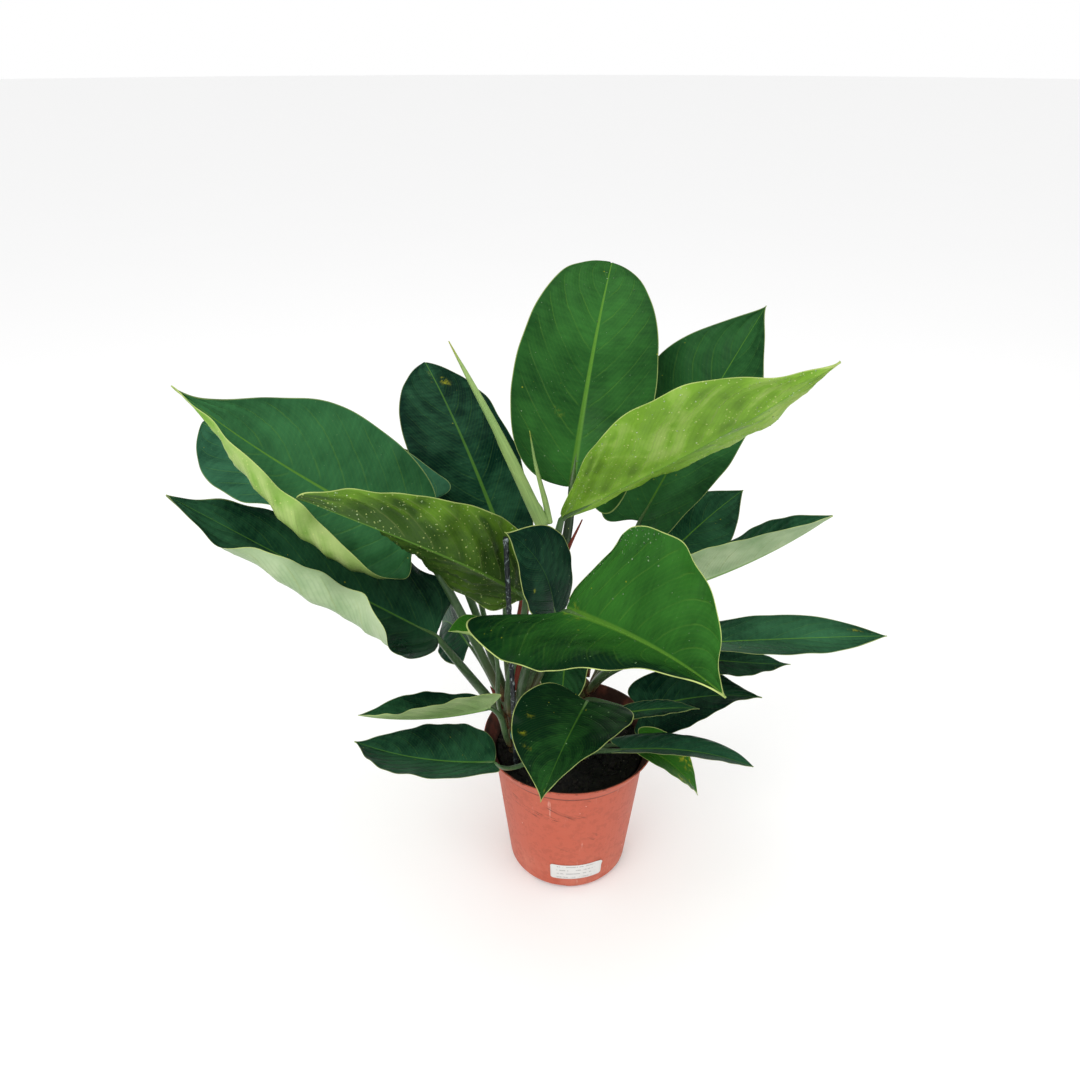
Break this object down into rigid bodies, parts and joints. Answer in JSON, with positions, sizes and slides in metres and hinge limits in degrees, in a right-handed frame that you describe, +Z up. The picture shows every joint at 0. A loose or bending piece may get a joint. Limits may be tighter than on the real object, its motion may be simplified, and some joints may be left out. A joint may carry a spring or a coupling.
{
  "type": "potted philodendron",
  "caption": "Potted philodendron: a clump of broad glossy pointed green leaves on thick round stalks, in a terracotta-coloured plastic nursery pot of peat, with a support stake.",
  "frame": {"origin": "middle of the flat pad under the pot, on the surface that the pot stands on", "axes": "+Z up along the pot's axis; -Y towards the front, where the label and the most open leaves face; +X to the viewer's right"},
  "size_m": [0.7437, 0.5938, 0.6421],
  "materials": {
    "pot_plastic": "terracotta-coloured moulded plastic, satin, with light scuffs",
    "soil_mix": "damp dark peat potting mix, crumbly and matt",
    "label_paper": "blank white paper sticker",
    "stem_skin": "short green-brown living stem ringed with leaf scars",
    "leaf_skin": "living leaf: glossy dark green above with a yellow-green midrib, paler underneath",
    "sheath_skin": "papery red-brown leaf sheath",
    "young_leaf": "pale green young leaf, still rolled, satin",
    "stake_plastic": "dark stake with chalky mottling",
    "clip_plastic": "teal plastic clip"
  },
  "bodies": {
    "root": {"pot": "pot_plastic", "soil": "soil_mix", "pot_label": "label_paper", "stem_main": "stem_skin", "stem_back": "stem_skin", "stem_front": "stem_skin", "leaf_crown_upright": "leaf_skin", "leaf_back_right": "leaf_skin", "leaf_right_rolled": "leaf_skin", "leaf_left_curled": "leaf_skin", "leaf_left_behind": "leaf_skin", "leaf_front_left": "leaf_skin", "leaf_left_low": "leaf_skin", "leaf_front_upright": "leaf_skin", "leaf_front_heart": "leaf_skin", "leaf_low_heart": "leaf_skin", "leaf_low_left_folded": "leaf_skin", "leaf_low_left": "leaf_skin", "leaf_back_left": "leaf_skin", "leaf_back_left_low": "leaf_skin", "leaf_right_mid": "leaf_skin", "leaf_right_folded": "leaf_skin", "leaf_right_long": "leaf_skin", "leaf_right_short": "leaf_skin", "leaf_right_low": "leaf_skin", "leaf_right_slip": "leaf_skin", "leaf_low_right": "leaf_skin", "leaf_hanging_right": "leaf_skin", "leaf_inner_left": "leaf_skin", "leaf_inner_front": "leaf_skin", "leaf_inner_middle": "leaf_skin", "sheath_tall": "sheath_skin", "sheath_right": "sheath_skin", "sheath_low": "sheath_skin", "leaf_spear": "young_leaf", "spear_bract": "young_leaf", "support_stake": "stake_plastic", "stake_clip": "clip_plastic"}
  },
  "joints": []
}
